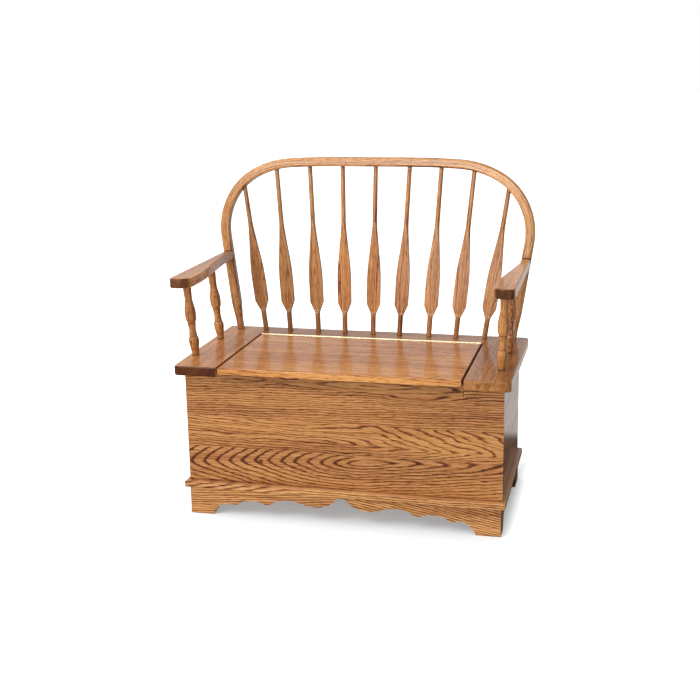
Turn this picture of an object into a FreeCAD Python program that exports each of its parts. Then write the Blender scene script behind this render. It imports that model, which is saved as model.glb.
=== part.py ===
import FreeCAD, Part
import math
import os
import re

# Storage bench: a panelled box with a hinged lid in its seat, on a scalloped plinth, with a bent bow back,
# nine flat-bladed spindles, two arms and four turned arm posts.
# While the pieces are made, x = 0 is the middle of the bench, y = 0 the seat's front edge and z = 0 the
# floor. At the end everything is moved so that the origin is under the middle of the whole bench.

# Driving dimensions, in millimetres and degrees
SIZES = {
    # seat frame
    "seat_height": 457.2,
    "seat_width": 965.0,
    "seat_depth": 514.0,
    "seat_thick": 28.6,
    "seat_corner_radius": 16.0,
    "seat_edge_radius": 4.0,
    "rail_depth": 96.6,
    # lid
    "end_board_width": 128.3,
    "lid_thick": 19.0,
    "lid_gap": 6.5,
    "lid_edge_radius": 3.0,
    "apron_reach": 1.3,
    "apron_drop": 39.2,
    "apron_end_gap_left": 0.4,
    "apron_end_gap_right": 1.5,
    # hinge along the back of the lid
    "barrel_radius": 2.5,
    "barrel_gap": 0.3,
    "pin_radius": 1.5,
    "pin_clearance": 0.05,
    "leaf_thick": 1.0,
    "leaf_height": 14.0,
    "knuckle_gap": 0.3,
    "hinge_screw_radius": 1.4,
    "hinge_screw_head_radius": 2.8,
    "hinge_screw_head_height": 0.8,
    "hinge_screw_length": 15.0,
    # box
    "front_inset": 36.7,
    "back_inset": 14.0,
    "side_inset": 21.5,
    "side_reveal": 5.0,
    "panel_thick": 19.0,
    "back_panel_thick": 12.0,
    "bottom_panel_thick": 12.0,
    # plinth and the moulded frame on it
    "skirt_height": 83.4,
    "skirt_thick": 19.0,
    "skirt_step_front": 9.7,
    "skirt_step_side": 2.7,
    "back_skirt_height": 60.0,
    "foot_width": 69.0,
    "side_foot_front": 57.0,
    "side_foot_back": 80.0,
    "notch_half_width": 13.0,
    "moulding_thick": 19.0,
    "moulding_width": 60.0,
    "moulding_overhang": 12.0,
    "moulding_foot_radius": 3.5,
    "moulding_top_radius": 2.5,
    # back plane and bow
    "back_inset_at_seat": 44.0,
    "back_rake": 4.0,
    "bow_thick": 28.6,
    "bow_edge_radius": 6.0,
    "bow_foot_side_inset": 47.0,
    "bow_lean": 8.3,
    "bow_leg_length": 301.0,
    "bow_shoulder_radius": 195.4,
    "bow_top_radius": 281.0,
    "bow_crown_radius": 2300.0,
    "bow_foot_radius": 11.6,
    "bow_foot_height": 34.0,
    "bow_taper_height": 54.0,
    # spindles
    "spindle_neck_radius": 8.1,
    "spindle_neck_height": 63.0,
    "spindle_shoulder_height": 34.0,
    "spindle_blade_height": 253.0,
    "spindle_blade_half_width": 21.9,
    "spindle_blade_thick": 11.0,
    "spindle_shaft_radius": 7.3,
    "spindle_tip_radius": 6.7,
    "spindle_end_gap": 1.0,
    # sockets
    "socket_depth": 20.0,
    "socket_clearance": 0.1,
    # arms
    "arm_rise": 251.4,
    "arm_thick": 28.6,
    "arm_front_inset": 11.0,
    "arm_outer_reach": 16.5,
    "arm_front_width": 62.0,
    "arm_back_width": 27.0,
    "arm_corner_radius": 15.0,
    "arm_inner_corner_radius": 38.0,
    "arm_edge_radius": 4.0,
    "arm_notch_depth": 8.0,
    "arm_notch_reveal": 2.5,
    "arm_socket_depth": 16.0,
    # turned arm posts
    "front_post_inset_left": 127.0,
    "front_post_inset_right": 126.0,
    "back_post_inset_left": 333.0,
    "back_post_inset_right": 317.0,
    "front_post_side_inset_left": 22.5,
    "front_post_side_inset_right": 41.0,
    "back_post_side_inset_left": 26.5,
    "back_post_side_inset_right": 41.0,
    "front_post_forward": 25.0,
    "back_post_forward": 35.0,
    "post_outward": 9.0,
    "post_foot_radius": 10.2,
    "post_vase_radius": 15.3,
    "post_waist_radius": 10.1,
    "post_ring_radius": 11.9,
    "post_bulb_radius": 16.3,
    "post_neck_radius": 10.8,
    "post_top_radius": 12.7,
    "post_groove_depth": 1.2,
    "post_groove_half_height": 1.2,
    "post_vase_height": 61.0,
    "post_waist_height": 41.0,
    "post_bulb_height": 72.0,
    # screws that hold the arms to the bow
    "arm_screw_radius": 2.2,
    "arm_screw_head_radius": 4.2,
    "arm_screw_head_height": 3.0,
    "arm_screw_length": 55.0,
    # how far a cutting shape runs past what it cuts
    "overrun": 5.0,
}

# Places that several pieces share, each written once from the driving dimensions
PLACES = {
    "seat_half": "seat_width / 2",
    "seat_under": "seat_height - seat_thick",
    "end_inner": "seat_half - end_board_width",
    "lid_half": "end_inner - lid_gap",
    "lid_width": "2 * lid_half",
    "lid_under": "seat_height - lid_thick",
    "apron_half": "lid_half + apron_reach",
    "rail_front": "seat_depth - rail_depth",
    "hinge_gap": "2 * barrel_radius + 2 * barrel_gap",
    "lid_back": "rail_front - hinge_gap",
    "barrel_y": "lid_back + hinge_gap / 2",
    "front_half": "seat_half - side_inset",
    "side_outer": "front_half - side_reveal",
    "side_inner": "side_outer - panel_thick",
    "panel_back": "front_inset + panel_thick",
    "case_back": "seat_depth - back_inset",
    "case_bottom": "skirt_height + moulding_thick",
    "case_height": "seat_under - case_bottom",
    "apron_bottom": "lid_under - apron_drop",
    "skirt_front_y": "front_inset - skirt_step_front",
    "skirt_half": "front_half - skirt_step_side",
    "skirt_behind": "skirt_front_y + skirt_thick",
    "moulding_front_y": "skirt_front_y - moulding_overhang",
    "moulding_half": "skirt_half + moulding_overhang",
    "back_line": "seat_depth - back_inset_at_seat",
    "bow_foot_half": "seat_half - bow_foot_side_inset",
    "arm_top": "seat_height + arm_rise",
    "arm_under": "arm_top - arm_thick",
    "arm_middle": "arm_top - arm_thick / 2",
    "bow_axis_at_arm_y": "back_line + tan(back_rake) * (arm_middle - seat_height)",
    "bow_axis_at_arm_half": "bow_foot_half + tan(bow_lean) * (arm_middle - seat_height) / cos(back_rake)",
    "arm_back": "bow_axis_at_arm_y - bow_thick / 2 / cos(back_rake) + arm_notch_depth",
    "arm_outer_half": "bow_axis_at_arm_half + arm_outer_reach",
}

# Counts, angles and proportions
KNUCKLE_COUNT = 27
HINGE_SCREW_COUNT = 9
BOW_TURN_SHARES = (0.725, 0.238, 0.037)
BOW_FOOT_FLAT_SHARE = 0.005

# Spindles from the left: foot places as shares of the bow's foot place, and leans to the right in degrees
SPINDLE_FOOT_SHARES = (-0.804, -0.618, -0.406, -0.207, 0.0, 0.194, 0.406, 0.6, 0.803)
SPINDLE_LEANS = (-8.2, -4.6, -2.85, -0.85, 0.67, 3.0, 3.6, 5.4, 8.0)

# Front skirt, from the middle notch outwards: half-length shares with height shares of the skirt
NOTCH_TOP_SHARE = 0.925
SCALLOP_SHARES = (
    ((0.055, 0.752), (0.084, 0.651)),
    ((0.168, 0.539), (0.250, 0.61)),
    ((0.365, 0.712), (0.443, 0.6)),
    ((0.480, 0.493), (0.524, 0.559)),
    ((0.594, 0.595), (0.662, 0.519)),
    ((0.694, 0.407), (0.738, 0.432)),
    ((0.768, 0.432), (0.795, 0.366)),
)
FOOT_TOP_SHARES = (0.815, 0.305)

# Side skirt: shares of the length between its feet, with height shares of the skirt
SIDE_ARCH_SHARES = (
    ((0.025, 0.30), (0.065, 0.52)),
    ((0.110, 0.60), (0.180, 0.62)),
    ((0.500, 0.66), (0.820, 0.62)),
    ((0.890, 0.60), (0.935, 0.52)),
    ((0.975, 0.30), (1.0, 0.0)),
)

# Blade outline above its shoulder: height shares with width shares between the shaft and full width
BLADE_SHARES = (
    (0.0, 0.99), (0.2, 1.0), (0.32, 0.98), (0.44, 0.88), (0.56, 0.69), (0.68, 0.475), (0.8, 0.26),
    (0.9, 0.1), (1.0, 0.0),
)
BLADE_FLAT_SHARES = (0.62, 1.05)
BLADE_OUT_SHARE = 0.25
NECK_RUNOUT_SHARES = (0.225, 0.1125, 0.5)

# Inner edge of an arm: length shares from the front with width shares of the front width
ARM_EDGE_SHARES = ((0.19, 1.0), (0.33, 0.92), (0.49, 0.78), (0.67, 0.61), (0.86, 0.47))
ARM_WAIST_SHARE = 0.98

# Turned outline of a post: height shares of each length with radius shares between its least and greatest
VASE_SHARES = (
    (0.08, 0.08), (0.29, 0.39), (0.47, 0.67), (0.61, 0.88), (0.755, 1.0), (0.84, 0.92), (0.92, 0.67),
)
WAIST_SHARES = ((0.12, 0.8), (0.28, 0.33), (0.46, 0.0), (0.64, 0.3), (0.82, 0.8))
BULB_SHARES = ((0.08, 0.65), (0.24, 0.95), (0.38, 1.0), (0.5, 0.95), (0.675, 0.62), (0.845, 0.24), (1.0, 0.0))

X_AXIS = FreeCAD.Vector(1, 0, 0)
Y_AXIS = FreeCAD.Vector(0, 1, 0)
Z_AXIS = FreeCAD.Vector(0, 0, 1)
ORIGIN = FreeCAD.Vector(0, 0, 0)
SIDES = (("left", -1), ("right", 1))

doc = FreeCAD.newDocument("storage_bench")
sheet = doc.addObject("Spreadsheet::Sheet", "Sizes")
for row, (alias, value) in enumerate(SIZES.items(), start=1):
    sheet.set(f"A{row}", alias)
    sheet.set(f"B{row}", str(value))
    sheet.setAlias(f"B{row}", alias)
doc.recompute()

nodes = {}


def formula(text):
    """The text with every shared place and driving dimension written out for an expression."""
    def replace(match):
        word = match.group(0)
        if word in PLACES:
            return "(" + formula(PLACES[word]) + ")"
        if word in SIZES:
            return "Sizes." + word
        return word
    return re.sub(r"[a-z_]+", replace, text)


def number(text):
    return float(sheet.evalExpression(formula(text)))


def bind(item, **texts):
    for name, text in texts.items():
        item.setExpression(name.replace("__", "."), formula(text))


def box(label, x, y, z, length, depth, height):
    """A square-edged block with its low corner at x, y, z."""
    item = doc.addObject("Part::Box", label)
    bind(item, Length=length, Width=depth, Height=height)
    bind(item, Placement__Base__x=x, Placement__Base__y=y, Placement__Base__z=z)
    return item


def rod(label, radius, length, start, direction):
    """A cylinder from a start point along a direction."""
    item = doc.addObject("Part::Cylinder", label)
    bind(item, Radius=radius, Height=length)
    item.Placement = FreeCAD.Placement(start, FreeCAD.Rotation(Z_AXIS, direction))
    return item


def shaped(label, shape, placement=FreeCAD.Placement()):
    item = doc.addObject("Part::Feature", label)
    item.Shape = shape
    item.Placement = placement
    return item


def cut(label, base, tools):
    """The base less every tool."""
    item = doc.addObject("Part::Cut", label)
    item.Base = base
    item.Tool = tools[0]
    if len(tools) > 1:
        item.Tool = doc.addObject("Part::MultiFuse", label + "_tools")
        item.Tool.Shapes = tools
    return item


def edges_where(shape, test):
    """Numbers of the edges whose middle and direction pass a test."""
    found = []
    for index, edge in enumerate(shape.Edges, start=1):
        middle = edge.valueAt((edge.FirstParameter + edge.LastParameter) / 2)
        if test(edge, middle):
            found.append(index)
    return found


def rounded(label, base, choices):
    """The base with edges rounded: choices are pairs of a test and a radius."""
    doc.recompute()
    item = doc.addObject("Part::Fillet", label)
    item.Base = base
    item.Edges = [(index, radius, radius)
                  for test, radius in choices
                  for index in edges_where(base.Shape, test)]
    return item


def upright(edge):
    return abs(edge.tangentAt(edge.FirstParameter).z) > math.cos(math.radians(1))


def plane_sketch(body, role):
    sketch = body.newObject("Sketcher::SketchObject", body.Name + "_outline")
    plane = [part for part in body.Origin.OriginFeatures if part.Role == role][0]
    sketch.AttachmentSupport = [(plane, "")]
    sketch.MapMode = "FlatFace"
    return sketch


def padded(label, role, curves, height, reverse=False):
    """A body with one closed outline, pushed out square to its plane."""
    body = doc.addObject("PartDesign::Body", label)
    sketch = plane_sketch(body, role)
    for curve in curves:
        sketch.addGeometry(curve, False)
    pad = body.newObject("PartDesign::Pad", label + "_pad")
    pad.Profile = sketch
    pad.Reversed = reverse
    pad.setExpression("Length", formula(height))
    return body


def line(first, last):
    return Part.LineSegment(FreeCAD.Vector(*first), FreeCAD.Vector(*last))


def arc(first, middle, last):
    return Part.Arc(FreeCAD.Vector(*first), FreeCAD.Vector(*middle), FreeCAD.Vector(*last))


def curve_through(points, first_way=None, last_way=None):
    """A smooth curve through points, with a set direction at each end where one is given."""
    curve = Part.BSplineCurve()
    spots = [FreeCAD.Vector(*point) for point in points]
    if first_way is None:
        curve.interpolate(Points=spots)
    else:
        curve.interpolate(Points=spots, InitialTangent=first_way, FinalTangent=last_way)
    return curve


# Back plane: x across, y backwards and z up along the raked back, from the seat's top

def back_placement():
    base = FreeCAD.Vector(0, number("back_line"), number("seat_height"))
    return FreeCAD.Placement(base, FreeCAD.Rotation(X_AXIS, -number("back_rake")))


def bow_path():
    """Centre line of the bow in the back plane: a leg, three arcs each side and a flat crown."""
    lean = math.radians(number("bow_lean"))
    heading = math.pi / 2 - lean
    foot = FreeCAD.Vector(number("bow_foot_half"), 0, 0)
    start = number("bow_foot_height + bow_taper_height")
    along = FreeCAD.Vector(math.cos(heading), 0, math.sin(heading))
    corner = foot + along * number("bow_leg_length")
    half = [Part.LineSegment(foot + along * start, corner)]
    total = math.pi / 2 + lean
    radii = [number(name) for name in ("bow_shoulder_radius", "bow_top_radius", "bow_crown_radius")]
    for radius, share in zip(radii, BOW_TURN_SHARES):
        centre = corner + FreeCAD.Vector(-math.sin(heading), 0, math.cos(heading)) * radius
        ends = []
        for step in (0.5, 1.0):
            angle = heading + total * share * step
            ends.append(centre + FreeCAD.Vector(math.sin(angle), 0, -math.cos(angle)) * radius)
        half.append(Part.Arc(corner, ends[0], ends[1]))
        corner = ends[1]
        heading += total * share
    crown = FreeCAD.Vector(-corner.x, 0, corner.z)
    right = [curve.toShape() for curve in half]
    left = [edge.mirror(ORIGIN, X_AXIS) for edge in reversed(right)]
    flat = Part.LineSegment(corner, crown).toShape()
    return Part.Wire(Part.__sortEdges__(right + [flat] + left)), foot, along


def bow_section(size, radius, centre, along):
    """Square of the given size with rounded corners, square to the direction along."""
    half = size / 2
    flat = half - radius
    diagonal = radius * math.sqrt(0.5)
    edges = []
    for turn in range(4):
        spin = FreeCAD.Rotation(Z_AXIS, 90 * turn)
        edges.append(Part.LineSegment(spin.multVec(FreeCAD.Vector(half, -flat, 0)),
                                      spin.multVec(FreeCAD.Vector(half, flat, 0))).toShape())
        edges.append(Part.Arc(spin.multVec(FreeCAD.Vector(half, flat, 0)),
                              spin.multVec(FreeCAD.Vector(flat + diagonal, flat + diagonal, 0)),
                              spin.multVec(FreeCAD.Vector(flat, half, 0))).toShape())
    wire = Part.Wire(edges)
    lean = math.degrees(math.atan2(along.x, along.z))
    wire.Placement = FreeCAD.Placement(centre, FreeCAD.Rotation(Y_AXIS, lean))
    return wire


def bow_shape():
    path, foot, along = bow_path()
    full = number("bow_thick")
    foot_radius = number("bow_foot_radius")
    foot_corner = foot_radius * (1 - BOW_FOOT_FLAT_SHARE)
    taper_top = number("bow_foot_height + bow_taper_height")
    shape = None
    for side in (1, -1):
        base = FreeCAD.Vector(side * foot.x, 0, 0)
        way = FreeCAD.Vector(side * along.x, 0, along.z)
        low = bow_section(2 * foot_radius, foot_corner, base - way * number("socket_depth"), way)
        knee = bow_section(2 * foot_radius, foot_corner, base + way * number("bow_foot_height"), way)
        wide = bow_section(full, number("bow_edge_radius"), base + way * taper_top, way)
        for pair in ([low, knee], [knee, wide]):
            piece = Part.makeLoft(pair, True, True)
            shape = piece if shape is None else shape.fuse(piece)
        if side == 1:
            start = wide
    sweep = path.makePipeShell([start], True, False)
    return shape.fuse(sweep).removeSplitter()


def spindle_leans():
    """Place across and lean of each spindle, from the left."""
    for share, lean in zip(SPINDLE_FOOT_SHARES, SPINDLE_LEANS):
        yield share * number("bow_foot_half"), lean


def spindle_length(path, across, lean):
    """Distance from the seat to the bow's centre line, along a spindle."""
    angle = math.radians(lean)
    reach = number("seat_width")
    far = FreeCAD.Vector(across + reach * math.sin(angle), 0, reach * math.cos(angle))
    ray = Part.LineSegment(FreeCAD.Vector(across, 0, 0), far).toShape()
    nearest = path.distToShape(ray)[1][0][0]
    return (nearest - FreeCAD.Vector(across, 0, 0)).Length


def spindle_placement(across, lean):
    local = FreeCAD.Placement(FreeCAD.Vector(across, 0, 0), FreeCAD.Rotation(Y_AXIS, lean))
    return back_placement().multiply(local)


def spindle(label, length):
    """A turned spindle with its middle cut flat into a long blade, standing on its own z axis."""
    neck = number("spindle_neck_radius")
    wide = number("spindle_blade_half_width")
    shaft = number("spindle_shaft_radius")
    tip = number("spindle_tip_radius")
    neck_top = number("spindle_neck_height")
    shoulder = neck_top + number("spindle_shoulder_height")
    blade = number("spindle_blade_height")
    bottom = -number("socket_depth")
    outline = [(shaft + (wide - shaft) * width, shoulder + blade * height) for height, width in BLADE_SHARES]
    body = doc.addObject("PartDesign::Body", label)
    sketch = plane_sketch(body, "XZ_Plane")
    corners = [(0, length), (0, bottom), (neck, bottom), (neck, neck_top), outline[0]]
    for first, last in zip(corners, corners[1:]):
        sketch.addGeometry(line((*first, 0), (*last, 0)), False)
    sketch.addGeometry(curve_through([(*point, 0) for point in outline]), False)
    tenon = length - number("bow_thick")
    sketch.addGeometry(line((*outline[-1], 0), (tip, tenon, 0)), False)
    sketch.addGeometry(line((tip, tenon, 0), (tip, length, 0)), False)
    sketch.addGeometry(line((tip, length, 0), (0, length, 0)), False)
    turned = body.newObject("PartDesign::Revolution", label + "_turned")
    turned.Profile = sketch
    turned.ReferenceAxis = (sketch, ["V_Axis"])
    turned.Angle = 360
    flats = plane_sketch(body, "YZ_Plane")
    half = number("spindle_blade_thick") / 2
    edge = wide + number("overrun")
    out_share, rise_share, flat_share = NECK_RUNOUT_SHARES
    flat_top_share, end_share = BLADE_FLAT_SHARES
    run = number("spindle_shoulder_height")
    for side in (1, -1):
        start = (side * (neck + (wide - neck) * out_share), neck_top - run * out_share)
        waist = (side * (half + (neck - half) * out_share), neck_top + run * rise_share)
        flat = (side * half, neck_top + run * flat_share)
        high = (side * half, shoulder + blade * flat_top_share)
        out = (side * (shaft + half * BLADE_OUT_SHARE), shoulder + blade * end_share)
        flats.addGeometry(arc((*start, 0), (*waist, 0), (*flat, 0)), False)
        flats.addGeometry(line((*flat, 0), (*high, 0)), False)
        flats.addGeometry(line((*high, 0), (*out, 0)), False)
        flats.addGeometry(line((*out, 0), (side * edge, out[1], 0)), False)
        flats.addGeometry(line((side * edge, out[1], 0), (side * edge, start[1], 0)), False)
        flats.addGeometry(line((side * edge, start[1], 0), (*start, 0)), False)
    blade_cut = body.newObject("PartDesign::Pocket", label + "_flats")
    blade_cut.Profile = flats
    blade_cut.Type = "Length"
    blade_cut.Midplane = True
    blade_cut.setExpression("Length", formula("2 * spindle_blade_half_width + 2 * overrun"))
    return body


def make_back():
    """The bow with its sockets and arm notches, and the spindles between it and the seat."""
    placement = back_placement()
    path = bow_path()[0]
    tools = []
    for index, (across, lean) in enumerate(spindle_leans(), start=1):
        length = spindle_length(path, across, lean) - number("spindle_end_gap")
        label = f"back_spindle_{index}"
        body = spindle(label, length)
        body.Placement = spindle_placement(across, lean)
        nodes[label] = body
        place = spindle_placement(across, lean)
        entry = place.multVec(FreeCAD.Vector(0, 0, length - number("bow_thick")))
        direction = place.Rotation.multVec(Z_AXIS)
        tools.append(rod(label + "_socket", "spindle_tip_radius + socket_clearance",
                         "bow_thick + socket_clearance", entry, direction))
    blank = shaped("bow_blank", bow_shape(), placement)
    for name, side in SIDES:
        low = f"{side} * bow_axis_at_arm_half - bow_thick"
        tools.append(box(f"arm_notch_{name}", low, "arm_back - bow_thick", "arm_under",
                         "2 * bow_thick", "bow_thick", "arm_thick + arm_notch_reveal"))
        tools.append(screw_hole(f"bow_screw_hole_{name}", side))
        tools.append(screw_sink(f"bow_screw_sink_{name}", side))
    nodes["bow"] = cut("bow", blank, tools)


def screw_start(side):
    """Back end of an arm screw's axis: where it leaves the bow, at the arm's middle height."""
    back = number("bow_axis_at_arm_y + bow_thick / 2 / cos(back_rake)")
    return FreeCAD.Vector(side * number("bow_axis_at_arm_half"), back, number("arm_middle"))


def screw_hole(label, side):
    """Clearance hole along an arm screw."""
    return rod(label, "arm_screw_radius + socket_clearance", "arm_screw_length + socket_clearance",
               screw_start(side), -Y_AXIS)


def screw_sink(label, side):
    """Sink for an arm screw's head, open at the back of the bow."""
    mouth = screw_start(side) + Y_AXIS * number("overrun")
    return rod(label, "arm_screw_head_radius + socket_clearance", "arm_screw_head_height + overrun",
               mouth, -Y_AXIS)


def make_arm_screws():
    screws = []
    for side in (-1, 1):
        start = screw_start(side)
        shank = Part.makeCylinder(number("arm_screw_radius"), number("arm_screw_length"), start, -Y_AXIS)
        head = Part.makeCylinder(number("arm_screw_head_radius"), number("arm_screw_head_height"),
                                 start, -Y_AXIS)
        screws.append(shank.fuse(head).removeSplitter())
    nodes["arm_screws"] = shaped("arm_screws", Part.makeCompound(screws))


def arm_outline(side):
    """Plan of an arm: wide and rounded in front, narrowing in a long curve to the bow."""
    front = number("arm_front_inset")
    back = number("arm_back")
    outer = number("arm_outer_half")
    wide = number("arm_front_width")
    inner = outer - wide
    corner = number("arm_corner_radius")
    inner_corner = number("arm_inner_corner_radius")
    back_outer = number("bow_axis_at_arm_half + arm_back_width / 2")
    back_inner = number("bow_axis_at_arm_half - arm_back_width / 2")
    bend = 1 - math.sqrt(0.5)
    inner_points = [(inner, front + inner_corner)]
    inner_points += [(outer - wide * width, front + (back - front) * length)
                     for length, width in ARM_EDGE_SHARES]
    inner_points.append((back_inner, back))
    outer_points = [
        (back_outer, back),
        (inner + wide * ARM_WAIST_SHARE, (front + back) / 2),
        (outer, front + corner),
    ]

    def at(point):
        return (side * point[0], point[1], 0)

    taper = FreeCAD.Vector(side * (back_inner - inner_points[-2][0]), back - inner_points[-2][1], 0)
    return [
        curve_through([at(point) for point in outer_points], -Y_AXIS, -Y_AXIS),
        arc(at(outer_points[-1]), at((outer - corner * bend, front + corner * bend)),
            at((outer - corner, front))),
        line(at((outer - corner, front)), at((inner + inner_corner, front))),
        arc(at((inner + inner_corner, front)), at((inner + inner_corner * bend, front + inner_corner * bend)),
            at(inner_points[0])),
        curve_through([at(point) for point in inner_points], Y_AXIS, taper.normalize()),
        line(at(inner_points[-1]), at((back_outer, back))),
    ]


def post_rows():
    """Each arm post: its name, side, foot and the point where its axis meets the arm's underside."""
    for end in ("front", "back"):
        for name, side in SIDES:
            half = number(f"seat_half - {end}_post_side_inset_{name}")
            inset = number(f"{end}_post_inset_{name}")
            foot = FreeCAD.Vector(side * half, inset, number("seat_height"))
            head = FreeCAD.Vector(side * (half + number("post_outward")),
                                  inset - number(f"{end}_post_forward"), number("arm_under"))
            yield f"arm_post_{end}_{name}", side, foot, head


def make_arms():
    for name, side in SIDES:
        pad = padded(f"arm_{name}_plan", "XY_Plane", arm_outline(side), "arm_thick")
        pad.Placement.Base = FreeCAD.Vector(0, 0, number("arm_under"))
        back = number("arm_back")
        quarter = number("arm_thick") / 4
        middle = number("arm_middle")

        def rim(edge, point):
            return abs(point.z - middle) > quarter and point.y < back - quarter / 2

        eased = rounded(f"arm_{name}_eased", pad, [(rim, number("arm_edge_radius"))])
        tools = []
        for label, post_side, foot, head in post_rows():
            if post_side == side:
                way = (head - foot).normalize()
                start = head - way * number("overrun")
                tools.append(rod(label + "_arm_socket", "post_top_radius + socket_clearance",
                                 "arm_socket_depth + overrun + socket_clearance", start, way))
        tools.append(screw_hole(f"arm_{name}_screw_hole", side))
        nodes[f"arm_{name}"] = cut(f"arm_{name}", eased, tools)


def groove(radius, height):
    """Three outline points of a fine V groove round a turned post."""
    half = number("post_groove_half_height")
    deep = radius - number("post_groove_depth")
    return [(radius, height - half), (deep, height), (radius, height + half)]


def turned_curve(shares, low, tall, least, most):
    return [(least + (most - least) * wide, low + tall * rise) for rise, wide in shares]


def arm_post(label, length):
    """A turned post on its own z axis: vase, waist, bulb and a flaring neck up into the arm."""
    foot = number("post_foot_radius")
    ring = number("post_ring_radius")
    top = number("post_top_radius")
    half = number("post_groove_half_height")
    deep = ring - number("post_groove_depth")
    vase_top = number("post_vase_height")
    waist_top = vase_top + number("post_waist_height")
    bulb_top = waist_top + number("post_bulb_height")
    foot_ring = groove(foot, 2 * half)
    vase_low = foot_ring[2][1]
    vase = turned_curve(VASE_SHARES, vase_low, vase_top - half - vase_low, foot, number("post_vase_radius"))
    waist = turned_curve(WAIST_SHARES, vase_top + half, waist_top - vase_top - 2 * half,
                         number("post_waist_radius"), ring)
    bulb = turned_curve(BULB_SHARES, waist_top + half, bulb_top - waist_top - half,
                        number("post_neck_radius"), number("post_bulb_radius"))
    vase = [foot_ring[2]] + vase + [(ring, vase_top - half)]
    waist = [(ring, vase_top + half)] + waist + [(ring, waist_top - half)]
    bulb = [(ring, waist_top + half)] + bulb
    bottom = -number("socket_depth")
    straight = [
        [(0, length), (0, bottom), (foot, bottom)] + foot_ring,
        [vase[-1], (deep, vase_top), waist[0]],
        [waist[-1], (deep, waist_top), bulb[0]],
        [bulb[-1], (top, length - number("arm_socket_depth")), (top, length), (0, length)],
    ]
    body = doc.addObject("PartDesign::Body", label)
    sketch = plane_sketch(body, "XZ_Plane")
    for chain in straight:
        for first, last in zip(chain, chain[1:]):
            sketch.addGeometry(line((*first, 0), (*last, 0)), False)
    for points in (vase, waist, bulb):
        sketch.addGeometry(curve_through([(*point, 0) for point in points]), False)
    turned = body.newObject("PartDesign::Revolution", label + "_turned")
    turned.Profile = sketch
    turned.ReferenceAxis = (sketch, ["V_Axis"])
    turned.Angle = 360
    return body


def make_posts():
    for label, side, foot, head in post_rows():
        body = arm_post(label, (head - foot).Length + number("arm_socket_depth"))
        body.Placement = FreeCAD.Placement(foot, FreeCAD.Rotation(Z_AXIS, head - foot))
        nodes[label] = body


def seat_sockets():
    """Holes in the seat for the bow, the spindles and the arm posts, as x place and rod."""
    found = []
    deep = number("socket_depth + socket_clearance")
    for index, (across, lean) in enumerate(spindle_leans(), start=1):
        place = spindle_placement(across, lean)
        found.append((across, place, "spindle_neck_radius + socket_clearance", f"spindle_hole_{index}"))
    for name, side in SIDES:
        place = spindle_placement(side * number("bow_foot_half"), side * number("bow_lean"))
        found.append((place.Base.x, place, "bow_foot_radius + socket_clearance", f"bow_hole_{name}"))
    for label, side, foot, head in post_rows():
        place = FreeCAD.Placement(foot, FreeCAD.Rotation(Z_AXIS, head - foot))
        found.append((foot.x, place, "post_foot_radius + socket_clearance", label + "_hole"))
    for across, place, radius, label in found:
        start = place.multVec(FreeCAD.Vector(0, 0, -deep))
        yield across, radius, start, place.Rotation.multVec(Z_AXIS), label


def make_seat():
    """End boards over the full depth, and the back rail between them behind the hinge."""
    round_edge = number("seat_edge_radius")
    corner = number("seat_corner_radius")
    edge_x = number("end_inner")
    reach = number("spindle_neck_radius")
    length = "socket_depth + socket_clearance + overrun"
    for name, side in SIDES:
        low = "end_inner" if side == 1 else "-seat_half"
        board = box(f"seat_board_{name}_blank", low, "0", "seat_under", "end_board_width", "seat_depth",
                    "seat_thick")
        inner = side * edge_x

        def outer_corner(edge, point):
            return upright(edge) and abs(point.x - inner) > corner

        def outer_rim(edge, point):
            return not upright(edge) and abs(point.x - inner) > round_edge

        board = rounded(f"seat_board_{name}_corners", board, [(outer_corner, corner)])
        board = rounded(f"seat_board_{name}_eased", board, [(outer_rim, round_edge)])
        tools = [rod(f"{label}_{name}", radius, length, start, way)
                 for across, radius, start, way, label in seat_sockets()
                 if side * across > edge_x - reach]
        nodes[f"seat_board_{name}"] = cut(f"seat_board_{name}", board, tools)
    rail = box("back_rail_blank", "-end_inner", "rail_front", "seat_under", "2 * end_inner", "rail_depth",
               "seat_thick")
    depth = number("seat_depth")

    def back_rim(edge, point):
        return point.y > depth - round_edge and not upright(edge)

    rail = rounded("back_rail_eased", rail, [(back_rim, round_edge)])
    tools = [rod(f"{label}_rail", radius, length, start, way)
             for across, radius, start, way, label in seat_sockets()
             if abs(across) < edge_x + reach]
    tools += hinge_screw_holes("rail", 1)
    nodes["back_rail"] = cut("back_rail", rail, tools)


def make_lid():
    thin = number("lid_edge_radius")
    back = number("lid_back")
    top = number("seat_height")
    panel = box("lid_blank", "-lid_half", "0", "lid_under", "lid_width", "lid_back", "lid_thick")

    def front_and_ends(edge, point):
        return not upright(edge) and point.z > top - thin and point.y < back - thin

    panel = rounded("lid_eased", panel, [(front_and_ends, thin)])
    nodes["lid_panel"] = cut("lid_panel", panel, hinge_screw_holes("lid", -1))
    nodes["lid_apron"] = box("lid_apron", "-apron_half", "front_inset", "apron_bottom", "2 * apron_half",
                             "panel_thick", "apron_drop")


def hinge_screw_places(side):
    """Screw axes in a leaf: side 1 runs back into the rail, side -1 forward into the lid."""
    face = number("rail_front - leaf_thick" if side == 1 else "lid_back + leaf_thick")
    height = number("seat_height - barrel_radius - leaf_height / 2")
    half = number("lid_half")
    for index in range(HINGE_SCREW_COUNT):
        across = half * (2 * (index + 0.5) / HINGE_SCREW_COUNT - 1)
        yield FreeCAD.Vector(across, face, height), Y_AXIS * side


def hinge_screw_holes(name, side):
    """Cutters that leave clearance round each hinge screw, head included."""
    tools = []
    for index, (start, way) in enumerate(hinge_screw_places(side)):
        tools.append(rod(f"hinge_hole_{name}_{index}", "hinge_screw_radius + socket_clearance",
                         "hinge_screw_length + socket_clearance", start, way))
    return tools


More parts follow.
